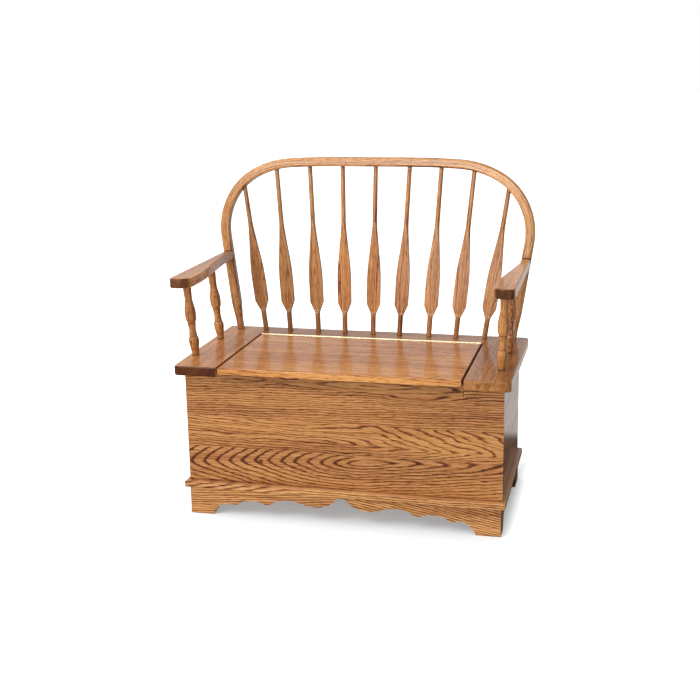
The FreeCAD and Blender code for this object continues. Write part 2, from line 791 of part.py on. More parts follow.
def hinge_screw(start, way):
    """A flat-headed screw whose head lies in the leaf."""
    radius = number("hinge_screw_radius")
    head = Part.makeCone(number("hinge_screw_head_radius"), radius, number("hinge_screw_head_height"),
                         start, way)
    return head.fuse(Part.makeCylinder(radius, number("hinge_screw_length"), start, way)).removeSplitter()


def knuckle_spans():
    """Low end and length of each knuckle, with a running gap between neighbours."""
    pitch = number("lid_width") / KNUCKLE_COUNT
    gap = number("knuckle_gap")
    for index in range(KNUCKLE_COUNT):
        yield index, -number("lid_half") + index * pitch + gap / 2, pitch - gap


def make_hinge():
    """A brass hinge along the whole lid: two leaves with alternate knuckles on one pin."""
    outer = number("barrel_radius")
    bore = number("pin_radius + pin_clearance")
    axis_y = number("barrel_y")
    top = number("seat_height")
    overrun = number("overrun")
    gap = number("knuckle_gap")
    for name, side in (("rail", 1), ("lid", -1)):
        low_y = number("rail_front - leaf_thick" if side == 1 else "lid_back")
        leaf = Part.makeBox(number("lid_width"), number("leaf_thick"), number("leaf_height"),
                            FreeCAD.Vector(-number("lid_half"), low_y, top - number("leaf_height")))
        for index, low, length in knuckle_spans():
            mine = (index % 2 == 0) == (side == 1)
            start = FreeCAD.Vector(low, axis_y, top)
            if mine:
                leaf = leaf.fuse(Part.makeCylinder(outer, length, start, X_AXIS))
            else:
                start.x -= gap
                leaf = leaf.cut(Part.makeCylinder(outer + gap, length + 2 * gap, start, X_AXIS))
        start = FreeCAD.Vector(-number("lid_half") - overrun, axis_y, top)
        leaf = leaf.cut(Part.makeCylinder(bore, number("lid_width") + 2 * overrun, start, X_AXIS))
        screws = []
        for start, way in hinge_screw_places(side):
            screws.append(hinge_screw(start, way))
            clearance = number("socket_clearance")
            head = Part.makeCone(number("hinge_screw_head_radius") + clearance,
                                 number("hinge_screw_radius") + clearance,
                                 number("hinge_screw_head_height"), start, way)
            hole = Part.makeCylinder(number("hinge_screw_radius") + clearance, overrun, start, way)
            leaf = leaf.cut(head).cut(hole)
        nodes[f"hinge_leaf_{name}"] = shaped(f"hinge_leaf_{name}", leaf)
        nodes[f"hinge_screws_{name}"] = shaped(f"hinge_screws_{name}", Part.makeCompound(screws))
    start = FreeCAD.Vector(-number("lid_half"), axis_y, top)
    nodes["hinge_pin"] = rod("hinge_pin", "pin_radius", "lid_width", start, X_AXIS)


def make_box():
    """Front with its notch for the lid's apron, sides, back and bottom."""
    front = box("front_panel_blank", "-front_half", "front_inset", "case_bottom", "2 * front_half",
                "panel_thick", "case_height")
    notch = box("front_panel_notch", "-apron_half - apron_end_gap_left", "front_inset - overrun",
                "apron_bottom", "2 * apron_half + apron_end_gap_left + apron_end_gap_right",
                "panel_thick + 2 * overrun", "seat_under - apron_bottom + overrun")
    nodes["front_panel"] = cut("front_panel", front, [notch])
    for name, side in SIDES:
        low = "side_inner" if side == 1 else "-side_outer"
        nodes[f"side_panel_{name}"] = box(f"side_panel_{name}", low, "panel_back", "case_bottom",
                                          "panel_thick", "case_back - panel_back", "case_height")
    nodes["back_panel"] = box("back_panel", "-side_inner", "case_back - back_panel_thick", "case_bottom",
                              "2 * side_inner", "back_panel_thick", "case_height")
    nodes["bottom_panel"] = box("bottom_panel", "-side_inner", "panel_back", "case_bottom",
                                "2 * side_inner", "case_back - back_panel_thick - panel_back",
                                "bottom_panel_thick")


def front_skirt_outline():
    """Front skirt seen from the front: square above, scalloped below, a foot at each end."""
    half = number("skirt_half")
    tall = number("skirt_height")
    inner = half - number("foot_width")
    notch = (number("notch_half_width"), tall * NOTCH_TOP_SHARE)
    arcs = []
    start = notch
    for middle, last in SCALLOP_SHARES:
        points = [(across * half, rise * tall) for across, rise in (middle, last)]
        arcs.append((start, points[0], points[1]))
        start = points[1]
    foot_top = (FOOT_TOP_SHARES[0] * half, FOOT_TOP_SHARES[1] * tall)
    curves = []
    for side in (1, -1):
        def at(point):
            return (side * point[0], point[1], 0)
        curves += [arc(at(first), at(middle), at(last)) for first, middle, last in arcs]
        corners = [start, foot_top, (inner, 0), (half, 0), (half, tall)]
        curves += [line(at(first), at(last)) for first, last in zip(corners, corners[1:])]
    curves.append(line((-half, tall, 0), (half, tall, 0)))
    curves.append(line((-notch[0], notch[1], 0), (*notch, 0)))
    return curves


def side_skirt_outline():
    """Side skirt seen from the side: a foot at each end and a long arch between them."""
    tall = number("skirt_height")
    front = number("skirt_behind")
    back = number("case_back")
    arch_front = number("skirt_front_y + side_foot_front")
    arch_back = number("case_back - side_foot_back")
    start = (arch_front, 0)
    curves = [
        line((front, 0, 0), (*start, 0)),
        line((arch_back, 0, 0), (back, 0, 0)),
        line((back, 0, 0), (back, tall, 0)),
        line((back, tall, 0), (front, tall, 0)),
        line((front, tall, 0), (front, 0, 0)),
    ]
    for middle, last in SIDE_ARCH_SHARES:
        points = [(arch_front + (arch_back - arch_front) * along, rise * tall)
                  for along, rise in (middle, last)]
        curves.append(arc((*start, 0), (*points[0], 0), (*points[1], 0)))
        start = points[1]
    return curves


def make_plinth():
    front = padded("skirt_front", "XZ_Plane", front_skirt_outline(), "skirt_thick", reverse=True)
    front.Placement.Base = FreeCAD.Vector(0, number("skirt_front_y"), 0)
    nodes["skirt_front"] = front
    for name, side in SIDES:
        skirt = padded(f"skirt_{name}", "YZ_Plane", side_skirt_outline(), "skirt_thick")
        low = number("skirt_half - skirt_thick" if side == 1 else "-skirt_half")
        skirt.Placement.Base = FreeCAD.Vector(low, 0, 0)
        nodes[f"skirt_{name}"] = skirt
    nodes["skirt_back"] = box("skirt_back", "-skirt_half + skirt_thick", "case_back - skirt_thick",
                              "skirt_height - back_skirt_height", "2 * skirt_half - 2 * skirt_thick",
                              "skirt_thick", "back_skirt_height")


def moulding_section():
    """Moulding in section: x inwards from its outer edge, y up, with its outer edges rounded."""
    thick = number("moulding_thick")
    wide = number("moulding_width")
    foot = number("moulding_foot_radius")
    top = number("moulding_top_radius")
    bend = 1 - math.sqrt(0.5)
    return [
        line((wide, 0, 0), (foot, 0, 0)),
        arc((foot, 0, 0), (foot * bend, foot * bend, 0), (0, foot, 0)),
        line((0, foot, 0), (0, thick - top, 0)),
        arc((0, thick - top, 0), (top * bend, thick - top * bend, 0), (top, thick, 0)),
        line((top, thick, 0), (wide, thick, 0)),
        line((wide, thick, 0), (wide, 0, 0)),
    ]


def moulding_run(length, corner, along, inward):
    """A straight run of moulding with a mitred end at each front corner that it reaches."""
    section = Part.Face(Part.Wire(Part.__sortEdges__([curve.toShape() for curve in moulding_section()])))
    matrix = FreeCAD.Matrix()
    axes = (inward, Z_AXIS, along)
    matrix.A11, matrix.A21, matrix.A31 = axes[0]
    matrix.A12, matrix.A22, matrix.A32 = axes[1]
    matrix.A13, matrix.A23, matrix.A33 = axes[2]
    matrix.A14, matrix.A24, matrix.A34 = corner
    return section.transformGeometry(matrix).extrude(along * length)


def corner_wedge(side, keep_front):
    """Half of the front corner of the moulded frame, on one side of the mitre line."""
    half = number("moulding_half")
    front = number("moulding_front_y")
    reach = number("moulding_width + overrun")
    low = number("skirt_height - overrun")
    tall = number("moulding_thick + 2 * overrun")
    tip = FreeCAD.Vector(side * half, front, low)
    inner = FreeCAD.Vector(side * (half - reach), front + reach, low)
    beyond = number("overrun")
    outside = FreeCAD.Vector(side * (half + beyond), front - beyond, low)
    if keep_front:
        third = FreeCAD.Vector(side * (half + beyond), front + reach, low)
    else:
        third = FreeCAD.Vector(side * (half - reach), front - beyond, low)
    face = Part.Face(Part.makePolygon([outside, tip, inner, third, outside]))
    return face.extrude(Z_AXIS * tall)


def make_mouldings():
    """Moulded frame between plinth and box: mitred in front, with a plain rail behind."""
    half = number("moulding_half")
    front = number("moulding_front_y")
    low = number("skirt_height")
    back = number("case_back")
    start = FreeCAD.Vector(-half, front, low)
    run = moulding_run(2 * half, start, X_AXIS, Y_AXIS)
    for name, side in SIDES:
        run = run.cut(corner_wedge(side, True))
    nodes["base_moulding_front"] = shaped("base_moulding_front", run)
    for name, side in SIDES:
        start = FreeCAD.Vector(side * half, front, low)
        run = moulding_run(back - front, start, Y_AXIS, X_AXIS * -side).cut(corner_wedge(side, False))
        nodes[f"base_moulding_{name}"] = shaped(f"base_moulding_{name}", run)
    nodes["base_rail_back"] = box("base_rail_back", "-moulding_half + moulding_width",
                                  "case_back - moulding_width", "skirt_height",
                                  "2 * moulding_half - 2 * moulding_width", "moulding_width",
                                  "moulding_thick")


def frame_origin():
    """Middle of the whole bench: it reaches from the seat's front edge to the back of the bow."""
    rake = math.radians(number("back_rake"))
    half = number("bow_thick") / 2
    rim = number("bow_edge_radius")
    top = bow_path()[0].BoundBox.ZMax
    reach = top * math.sin(rake) + (half - rim) * (math.sin(rake) + math.cos(rake)) + rim
    return FreeCAD.Vector(0, -(number("back_line") + reach) / 2, 0)


make_plinth()
make_mouldings()
make_box()
make_seat()
make_lid()
make_hinge()
make_back()
make_arms()
make_posts()
make_arm_screws()
doc.recompute()

faults = [item.Label for item in doc.Objects if "Invalid" in item.State or "Error" in item.State]
if faults:
    raise RuntimeError(f"failed pieces: {faults}")

shift = frame_origin()
os.makedirs("parts", exist_ok=True)
for label, item in nodes.items():
    shape = item.Shape.copy()
    if shape.isNull() or not shape.isValid():
        raise RuntimeError(f"no good shape: {label}")
    shape.translate(shift)
    shape.exportStep(f"parts/{label}.step")
    print(label, len(shape.Solids), round(shape.Volume))
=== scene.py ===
import math
import bpy
from mathutils import Matrix, Vector


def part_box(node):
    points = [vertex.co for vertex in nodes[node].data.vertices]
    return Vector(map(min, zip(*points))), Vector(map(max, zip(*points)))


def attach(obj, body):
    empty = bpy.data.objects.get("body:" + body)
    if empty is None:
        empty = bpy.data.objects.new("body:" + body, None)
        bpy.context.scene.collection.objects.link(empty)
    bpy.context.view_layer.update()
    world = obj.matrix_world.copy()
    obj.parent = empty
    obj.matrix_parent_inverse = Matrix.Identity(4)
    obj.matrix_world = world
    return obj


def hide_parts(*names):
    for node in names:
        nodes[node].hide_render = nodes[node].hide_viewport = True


# Looks of the oak bench: stained oak and metal on the CAD pieces, a bow whose grain bends with it, a white
# floor, soft light and the photograph's view. Lengths are in metres, with x to the right and y to the back.

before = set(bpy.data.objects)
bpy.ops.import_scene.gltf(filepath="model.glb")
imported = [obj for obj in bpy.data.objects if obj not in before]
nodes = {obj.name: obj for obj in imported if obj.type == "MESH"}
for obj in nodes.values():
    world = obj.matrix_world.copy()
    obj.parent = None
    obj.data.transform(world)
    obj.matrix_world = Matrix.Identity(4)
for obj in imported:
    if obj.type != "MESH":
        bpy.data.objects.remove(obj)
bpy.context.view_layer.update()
scene = bpy.context.scene

MM = 0.001
X, Y, Z = Vector((1, 0, 0)), Vector((0, 1, 0)), Vector((0, 0, 1))
WHITE = (1, 1, 1, 1)

# Camera at the photograph's view: where it stands, then its heading, its height angle and its roll
CAMERA_PLACE = Vector((0.7847, -3.28178, 1.3305))
CAMERA_HEADING, CAMERA_RISE, CAMERA_ROLL = (math.radians(angle) for angle in (13.84, 14.47, -0.9))
CAMERA_LENS = 60.294
CAMERA_SENSOR = 36.0
CAMERA_REACH = 100.0


def add_camera():
    data = bpy.data.cameras.new("camera")
    data.sensor_width = CAMERA_SENSOR
    data.lens = CAMERA_LENS
    data.clip_end = CAMERA_REACH
    camera = bpy.data.objects.new("camera", data)
    scene.collection.objects.link(camera)
    back = Vector((math.sin(CAMERA_HEADING) * math.cos(CAMERA_RISE),
                   -math.cos(CAMERA_HEADING) * math.cos(CAMERA_RISE), math.sin(CAMERA_RISE)))
    level = Vector((math.cos(CAMERA_HEADING), math.sin(CAMERA_HEADING), 0))
    upward = back.cross(level)
    right = level * math.cos(CAMERA_ROLL) + upward * math.sin(CAMERA_ROLL)
    up = upward * math.cos(CAMERA_ROLL) - level * math.sin(CAMERA_ROLL)
    turn = Matrix((right, up, back)).transposed().to_4x4()
    camera.matrix_world = Matrix.Translation(CAMERA_PLACE) @ turn
    scene.camera = camera


class Nodes:
    """One node tree under construction: add gives a new node, and the calls below feed give an output."""

    def __init__(self, tree):
        self.tree = tree

    def add(self, kind, sockets=None, **settings):
        node = self.tree.nodes.new(kind)
        for name, value in settings.items():
            setattr(node, name, value)
        for key, value in (sockets or {}).items():
            self.feed(node.inputs[key], value)
        return node

    def feed(self, socket, value):
        if isinstance(value, bpy.types.NodeSocket):
            self.tree.links.new(value, socket)
        else:
            socket.default_value = value

    def math(self, operation, first, second=None, third=None, clamp=False):
        node = self.add("ShaderNodeMath", operation=operation, use_clamp=clamp)
        for socket, value in zip(node.inputs, (first, second, third)):
            if value is not None:
                self.feed(socket, value)
        return node.outputs[0]

    def total(self, first, *others):
        for other in others:
            first = self.math("ADD", first, other)
        return first

    def product(self, first, *others):
        for other in others:
            first = self.math("MULTIPLY", first, other)
        return first

    def swing(self, noise, amount):
        """A noise that runs from 0 to 1, moved to run evenly about 0 and scaled to an amount."""
        return self.product(self.math("SUBTRACT", noise, 0.5), amount)

    def vector_math(self, operation, first, second=None, scale=None):
        node = self.add("ShaderNodeVectorMath", operation=operation)
        self.feed(node.inputs[0], first)
        if second is not None:
            self.feed(node.inputs[1], second)
        if scale is not None:
            self.feed(node.inputs["Scale"], scale)
        return node.outputs["Value" if operation == "DOT_PRODUCT" else "Vector"]

    def ramp(self, value, low, high, start=0.0, end=1.0):
        """Smooth step from start to end as value goes from low to high."""
        node = self.add("ShaderNodeMapRange", {0: value, 1: low, 2: high, 3: start, 4: end},
                        interpolation_type="SMOOTHSTEP")
        return node.outputs[0]

    def noise(self, place, waves, detail, rough):
        """Noise with about so many waves in a metre, along each of the place's three directions."""
        scaled = self.vector_math("MULTIPLY", place, waves)
        node = self.add("ShaderNodeTexNoise", {"Vector": scaled, "Scale": 1.0, "Detail": detail,
                                               "Roughness": rough})
        return node.outputs[0]

    def colours(self, value, stops):
        node = self.add("ShaderNodeValToRGB", {0: value})
        band = node.color_ramp
        while len(band.elements) < len(stops):
            band.elements.new(1.0)
        for element, (place, colour) in zip(band.elements, stops):
            element.position = place
            element.color = (*colour, 1.0)
        return node.outputs[0]

    def mix(self, share, first, second, way="MIX"):
        """Mixed colour. Inputs 6 and 7 and output 2 of the node are its colours."""
        node = self.add("ShaderNodeMix", {0: share, 6: first, 7: second}, data_type="RGBA", blend_type=way)
        return node.outputs[2]

    def tinted(self, colour, tint):
        return self.mix(1.0, colour, tint, "MULTIPLY")

    def choose(self, share, first, second):
        """The first value where the share is 0, and the second where it is 1."""
        return self.add("ShaderNodeMix", {0: share, 2: first, 3: second}, data_type="FLOAT").outputs[0]

    def parts(self, vector):
        return self.add("ShaderNodeSeparateXYZ", {0: vector}).outputs[:3]

    def vector(self, *parts):
        return self.add("ShaderNodeCombineXYZ", dict(enumerate(parts))).outputs[0]

    def coordinate(self, kind):
        """One texture coordinate, such as Object for the place or Normal for the way a surface faces."""
        return self.add("ShaderNodeTexCoord").outputs[kind]


def new_group(name, inputs, outputs):
    """Node group with the named inputs and outputs, its builder, its inputs' sockets and its end node."""
    tree = bpy.data.node_groups.new(name, "ShaderNodeTree")
    for label, kind in inputs:
        tree.interface.new_socket(label, in_out="INPUT", socket_type=kind)
    for label, kind in outputs:
        tree.interface.new_socket(label, in_out="OUTPUT", socket_type=kind)
    build = Nodes(tree)
    start = build.add("NodeGroupInput")
    return tree, build, start.outputs[:len(inputs)], build.add("NodeGroupOutput")


FLOAT, VECTOR, COLOUR = "NodeSocketFloat", "NodeSocketVector", "NodeSocketColor"

# Noises: waves in a metre along the grain, across it and into the board, then detail and roughness
LOG_DRIFT = ((3.0, 1.2, 1.2), 1.0, 0.4)
LOG_WARP = ((7.0, 34.0, 34.0), 2.0, 0.5)
SLOW_WAVES = ((5.0, 11.0, 11.0), 1.0, 0.5)
QUICK_WAVES = ((16.0, 70.0, 70.0), 2.0, 0.5)
FLAME_WAVES = ((7.0, 34.0, 0.0), 1.0, 0.4)
FIBRES = ((16.0, 560.0, 560.0), 2.0, 0.6)
DASHES = ((42.0, 430.0, 430.0), 1.0, 0.5)
PORES = ((95.0, 2100.0, 2100.0), 1.0, 0.5)
STREAKS = ((3.0, 190.0, 190.0), 2.0, 0.5)
CLOUDS = ((1.6, 13.0, 13.0), 1.0, 0.5)
TARNISH = ((160.0, 160.0, 160.0), 3.0, 0.6)
SCRATCHES = ((250.0, 4200.0, 4200.0), 2.0, 0.6)

# Steps that pick another stretch of a noise for each seed, along, across and into the board, and how a
# board's own seed is stretched for its log
LOG_SEED_STEP = (1.0, 1.7, 0.6)
WAVE_SEED_STEP = (0.71, 0.43, 0.59)
GRAIN_SEED_STEP = (0.37, 0.11, 0.0)
LOG_SEED_STRETCH = 1.31

# How much of the log's drift goes across the board
DRIFT_ACROSS_SHARE = 0.4


def log_group():
    """Age of the wood, counted in rings, at a place measured along, across and into a board."""
    tree, n, inputs, end = new_group(
        "log_rings",
        [("Place", VECTOR), ("Seed", FLOAT), ("Side", FLOAT), ("Depth", FLOAT), ("Taper", FLOAT),
         ("Wander", FLOAT), ("Warp", FLOAT), ("Ring", FLOAT)],
        [("Age", FLOAT)])
    place, seed, side, depth, taper, wander, warp, ring = inputs
    along, beside, below = n.parts(place)
    shifted = n.vector_math("ADD", place, n.vector_math("SCALE", LOG_SEED_STEP, scale=seed))
    drift = n.swing(n.noise(shifted, *LOG_DRIFT), wander)
    across = n.total(beside, side, n.product(drift, DRIFT_ACROSS_SHARE))
    into = n.total(below, depth, drift, n.product(along, taper))
    reach = n.math("SQRT", n.total(n.product(across, across), n.product(into, into)))
    bent = n.total(reach, n.swing(n.noise(shifted, *LOG_WARP), warp))
    n.feed(end.inputs[0], n.math("DIVIDE", bent, ring))
    return tree


# Smooth steps, here and below: the two limits, then the first and last value where these aren't 0 and 1
BAND_STARTS = (0.0, 0.1)
BAND_FADES = (0.2, 0.55, 1.0, 0.0)
BAND_BY_RING = (0.25, 0.7, 0.55, 1.0)
BAND_BY_FIBRE = (0.25, 0.7, 0.6, 1.15)
BAND_BY_CLOUD = (0.3, 0.6, 0.7, 1.15)
PORE_EDGE = (0.58, 0.72)
DASH_EDGE = (0.5, 0.66)
WARM_TO_COOL = (0.3, 0.7)
CREVICE_SHADE_EDGE = (0.4, 0.92)

# How far fibres push a ring's edge, as a share of the ring, and how fast rings change from one to the next
RAGGED_RING_SHARE = 0.45
RING_CHANGE = 0.83

# Darkness that each feature adds. Pores and dashes are darker where they lie in a ring's porous band
PORE_DARKNESS, BAND_PORE_DARKNESS = 0.14, 0.35
DASH_DARKNESS, BAND_DASH_DARKNESS = 0.2, 0.3
FIBRE_DARKNESS = 0.7
STREAK_DARKNESS = 0.8
CLOUD_DARKNESS = 0.5
GROUND_DARKNESS = 0.1

# Colours of the stained wood by darkness, and the tints that lie over it, some of them painted shade
WOOD_COLOURS = ((0.0, (0.655, 0.312, 0.112)), (0.3, (0.445, 0.172, 0.048)),
                (0.62, (0.215, 0.064, 0.016)), (1.0, (0.105, 0.027, 0.007)))
WARM_SHADE = (1.03, 1.02, 0.93, 1)
COOL_SHADE = (0.98, 0.95, 0.98, 1)
# Colour towards which end grain darkens, and the painted shade on the edges of spindles, posts and the bow
END_GRAIN_AND_SHADE_COLOUR = (0.17, 0.10, 0.06, 1)
# Painted shade, with stain, in grooves and joints: its colour, how near another surface must lie, and its
# samples
CREVICE_SHADE_AND_STAIN = (0.36, 0.23, 0.16, 1)
CREVICE_SHADE_REACH = 6.5 * MM
CREVICE_SHADE_SAMPLES = 6

# Roughness and height of plain wood, then how much rougher and lower dark wood and open pores are
ROUGHNESS, DARK_ROUGHNESS, PORE_ROUGHNESS = 0.36, 0.16, 0.12
HEIGHT, DARK_SINK, PORE_SINK = 0.5, 0.25, 0.35


def oak_group():
    """Colour, roughness and relief of stained oak from the age of its wood, with end grain and painted shade
    darkened in.
    """
    tree, n, inputs, end = new_group(
        "oak", [("Place", VECTOR), ("Age", FLOAT), ("End", FLOAT), ("Tone", COLOUR), ("Contrast", FLOAT),
                ("Spot", FLOAT), ("Thin", FLOAT)],
        [("Colour", COLOUR), ("Roughness", FLOAT), ("Height", FLOAT)])
    place, age, end_grain_and_shade, tone, contrast, spot, thin = inputs
    fibres = n.noise(place, *FIBRES)
    dashes = n.ramp(n.noise(place, *DASHES), *DASH_EDGE)
    pores = n.ramp(n.noise(place, *PORES), *PORE_EDGE)
    clouds = n.noise(place, *CLOUDS)
    # each ring starts with a dark porous band, which fades into dense light wood
    rings = n.total(age, n.swing(fibres, RAGGED_RING_SHARE))
    within = n.product(n.math("FRACT", rings), thin)
    variety = n.add("ShaderNodeTexNoise", {"W": n.math("FLOOR", rings), "Scale": RING_CHANGE, "Detail": 0.0},
                    noise_dimensions="1D").outputs[0]
    band = n.product(n.ramp(within, *BAND_STARTS), n.ramp(within, *BAND_FADES),
                     n.ramp(variety, *BAND_BY_RING), n.ramp(fibres, *BAND_BY_FIBRE),
                     n.ramp(clouds, *BAND_BY_CLOUD))
    dark = n.total(n.product(band, contrast),
                   n.product(pores, n.total(n.product(band, BAND_PORE_DARKNESS), PORE_DARKNESS)),
                   n.product(dashes, n.total(n.product(band, BAND_DASH_DARKNESS), DASH_DARKNESS)),
                   n.swing(fibres, FIBRE_DARKNESS),
                   n.swing(n.noise(place, *STREAKS), STREAK_DARKNESS),
                   n.swing(clouds, CLOUD_DARKNESS))
    dark = n.math("ADD", dark, n.total(spot, GROUND_DARKNESS), clamp=True)
    wood = n.colours(dark, WOOD_COLOURS)
    wood = n.tinted(wood, n.mix(n.ramp(clouds, *WARM_TO_COOL), WARM_SHADE, COOL_SHADE))
    wood = n.tinted(wood, n.mix(end_grain_and_shade, WHITE, END_GRAIN_AND_SHADE_COLOUR))
    # painted shade, with stain: the wood darkens in grooves, gaps, joints and inside corners, wherever
    # another surface lies within reach
    openness = n.add("ShaderNodeAmbientOcclusion", {"Distance": CREVICE_SHADE_REACH}, samples=CREVICE_SHADE_SAMPLES)
    wood = n.tinted(wood, n.mix(n.ramp(openness.outputs["AO"], *CREVICE_SHADE_EDGE), CREVICE_SHADE_AND_STAIN, WHITE))
    n.feed(end.inputs[0], n.tinted(wood, tone))
    rough = n.total(n.product(dark, DARK_ROUGHNESS), ROUGHNESS, n.product(pores, PORE_ROUGHNESS))
    n.feed(end.inputs[1], rough)
    sunk = n.total(n.product(dark, DARK_SINK), n.product(pores, PORE_SINK))
    n.feed(end.inputs[2], n.math("SUBTRACT", HEIGHT, sunk))
    return tree


LOG = log_group()
OAK = oak_group()

LACQUER = {"Specular IOR Level": 0.2, "IOR": 1.45, "Coat Weight": 0.5, "Coat Roughness": 0.12,
           "Coat IOR": 1.42}
WOOD_RELIEF = {"Strength": 0.35, "Distance": 0.25 * MM}


def blank_material(name):
    material = bpy.data.materials.new(name)
    material.use_nodes = True
    material.node_tree.nodes.clear()
    return material, Nodes(material.node_tree)


def use_group(n, tree, values):
    group = n.add("ShaderNodeGroup", node_tree=tree)
    for key, value in values.items():
        n.feed(group.inputs[key], value)
    return group.outputs


def finish_wood(n, place, age, end_grain_and_shade, tone, tint, contrast, spot=0.0, thin=1.0):
    """Lacquered surface over the oak group."""
    colour = (*(tone * part for part in tint), 1.0)
    wood = use_group(n, OAK, {"Place": place, "Age": age, "End": end_grain_and_shade, "Tone": colour,
                              "Contrast": contrast, "Spot": spot, "Thin": thin})
    bump = n.add("ShaderNodeBump", {"Height": wood["Height"], **WOOD_RELIEF})
    surface = n.add("ShaderNodeBsdfPrincipled", {"Base Color": wood["Colour"], "Roughness": wood["Roughness"],
                                                 "Normal": bump.outputs[0], **LACQUER})
    n.add("ShaderNodeOutputMaterial", {"Surface": surface.outputs[0]})


def log_age(n, place, seed, side, depth, taper, wander, warp, ring):
    """Age of the wood in a board cut from a round log."""
    return use_group(n, LOG, {"Place": place, "Seed": seed, "Side": side, "Depth": depth, "Taper": taper,
                              "Wander": wander, "Warp": warp, "Ring": ring})[0]


def wavered(n, place, seed, fine, coarse):
    """The place, shifted across the grain by slow and quick waves."""
    shifted = n.vector_math("ADD", place, tuple(seed * step for step in WAVE_SEED_STEP))
    shift = n.total(n.swing(n.noise(shifted, *QUICK_WAVES), fine),
                    n.swing(n.noise(shifted, *SLOW_WAVES), coarse))
    return n.vector_math("ADD", place, n.vector(0.0, shift))


def cathedral(n, place, heart, slope, left, right, below, above, power):
    """Rings counted outwards from the heart of a long pointed figure, whose middle line rises by a slope.

    left, right, below and above are the width of one ring on each side of the heart.
    """
    along, across, _ = n.parts(place)
    ahead = n.math("SUBTRACT", along, heart[0])
    middle = n.math("MULTIPLY_ADD", ahead, slope, heart[1])
    aside = n.math("SUBTRACT", across, middle)
    out = n.math("MAXIMUM", n.math("DIVIDE", ahead, right), n.math("DIVIDE", ahead, -left))
    off = n.math("MAXIMUM", n.math("DIVIDE", aside, above), n.math("DIVIDE", aside, -below))
    rounded = n.total(n.math("POWER", out, power), n.math("POWER", off, power))
    return n.math("POWER", rounded, 1.0 / power)


# Front panel: heights of the joints between its three boards, in metres above the floor
FIRST_JOINT = 0.2085
SECOND_JOINT = 0.3

# Its lowest board: rings inside the heart that stay plain
PLAIN_HEART = 0.7

# Its middle board: where the flames' points lie, and rings in a metre or, for hook and waves, in all
FLAME_POINT_HEIGHT = 0.244
FLAME_POINT_SLOPE = -0.03
FLAMES_START, FLAMES_START_BLEND = 0.06, 0.12
RINGS_ALONG, FLAME_RINGS_ALONG = 4.0, 16.0
RINGS_UNDER = 150.0
RINGS_OVER = (-0.15, 0.15, 75.0, 0.0)
HOOK_RINGS = (0.222, 0.305, 0.0, 3.8)
WAVE_RINGS = 2.2

# Its highest board: width and slope of the rings, and how many rings bulge at the small swirl
FINE_RING = 7.2 * MM
FINE_SLOPE = 0.03
SWIRL_RINGS = 3.0


def long_cathedral(n, place):
    rings = cathedral(n, place, heart=(0.067, 0.188), slope=0.05, left=0.0395, right=0.075,
                      below=0.0084, above=0.0110, power=1.5)
    return n.math("MAXIMUM", rings, PLAIN_HEART)


def hooked_flames(n, place):
    """Each ring runs in level from the left, turns back at a point low on the right and rises to a hook."""
    along, across, _ = n.parts(place)
    point = n.math("MULTIPLY_ADD", along, FLAME_POINT_SLOPE, FLAME_POINT_HEIGHT)
    started = n.math("SMOOTH_MAX", n.math("SUBTRACT", along, FLAMES_START), 0.0, FLAMES_START_BLEND)
    under = n.math("MAXIMUM", n.math("SUBTRACT", point, across), 0.0)
    over = n.math("MAXIMUM", n.math("SUBTRACT", across, point), 0.0)
    return n.total(n.product(started, FLAME_RINGS_ALONG), n.product(along, RINGS_ALONG),
                   n.product(under, RINGS_UNDER), n.ramp(across, *HOOK_RINGS),
                   n.product(over, n.ramp(along, *RINGS_OVER)),
                   n.product(n.noise(place, *FLAME_WAVES), WAVE_RINGS))


def fine_grain(n, place):
    """Fine straight grain with one small swirl."""
    along, across, _ = n.parts(place)
    level = n.math("SUBTRACT", across, n.product(along, FINE_SLOPE))
    swirl = cathedral(n, place, heart=(0.23, 0.385), slope=0.0, left=0.1, right=0.12,
                      below=0.012, above=0.012, power=2.0)
    bulge = n.math("DIVIDE", SWIRL_RINGS, n.total(n.product(swirl, swirl), 1.0))
    return n.total(n.math("DIVIDE", level, FINE_RING), bulge)


def front_panel_figure(n, place):
    """Three boards glued edge to edge: a long cathedral, a run of hooked flames and fine straight grain."""
    place = wavered(n, place, seed=3.0, fine=0.009, coarse=0.016)
    height = n.parts(place)[1]
    above_first = n.math("GREATER_THAN", height, FIRST_JOINT)
    above_second = n.math("GREATER_THAN", height, SECOND_JOINT)
    upper = n.choose(above_second, hooked_flames(n, place), fine_grain(n, place))
    return n.choose(above_first, long_cathedral(n, place), upper)


def apron_figure(n, place):
    """Long dark pointed bands, as two cathedrals that meet."""
    place = wavered(n, place, seed=5.0, fine=0.003, coarse=0.008)
    right = cathedral(n, place, heart=(0.08, 0.416), slope=0.0, left=0.125, right=0.12,
                      below=0.009, above=0.009, power=1.8)
    left = cathedral(n, place, heart=(-0.30, 0.417), slope=0.02, left=0.08, right=0.07,
                     below=0.009, above=0.009, power=1.8)
    return n.math("MINIMUM", right, left)


def skirt_figure(n, place):
    """Nearly straight grain that rises to the middle and falls away more steeply to the right."""
    left_slope, right_slope = -0.07, 0.2
    ring = 7.2 * MM
    place = wavered(n, place, seed=7.0, fine=0.004, coarse=0.012)
    along, across, _ = n.parts(place)
    left = n.product(n.math("MINIMUM", along, 0.0), left_slope)
    right = n.product(n.math("MAXIMUM", along, 0.0), right_slope)
    return n.math("DIVIDE", n.total(across, right, left), ring)


def moulding_figure(n, place):
    """Short flames at the left end, which run out into nearly straight grain."""
    flames_end, blend, flame_rings = -0.15, 0.15, 17.0
    root_height = 0.093
    rings_up = (-0.25, 0.1, 70.0, 150.0)
    place = wavered(n, place, seed=11.0, fine=0.007, coarse=0.012)
    along, across, _ = n.parts(place)
    run = n.product(n.math("SMOOTH_MIN", n.math("SUBTRACT", along, flames_end), 0.0, blend), flame_rings)
    rise = n.product(n.math("SUBTRACT", across, root_height), n.ramp(along, *rings_up))
    return n.math("SUBTRACT", run, rise)


KNOT_HEART_SHARE = 0.3
KNOT_DARKNESS = 0.55


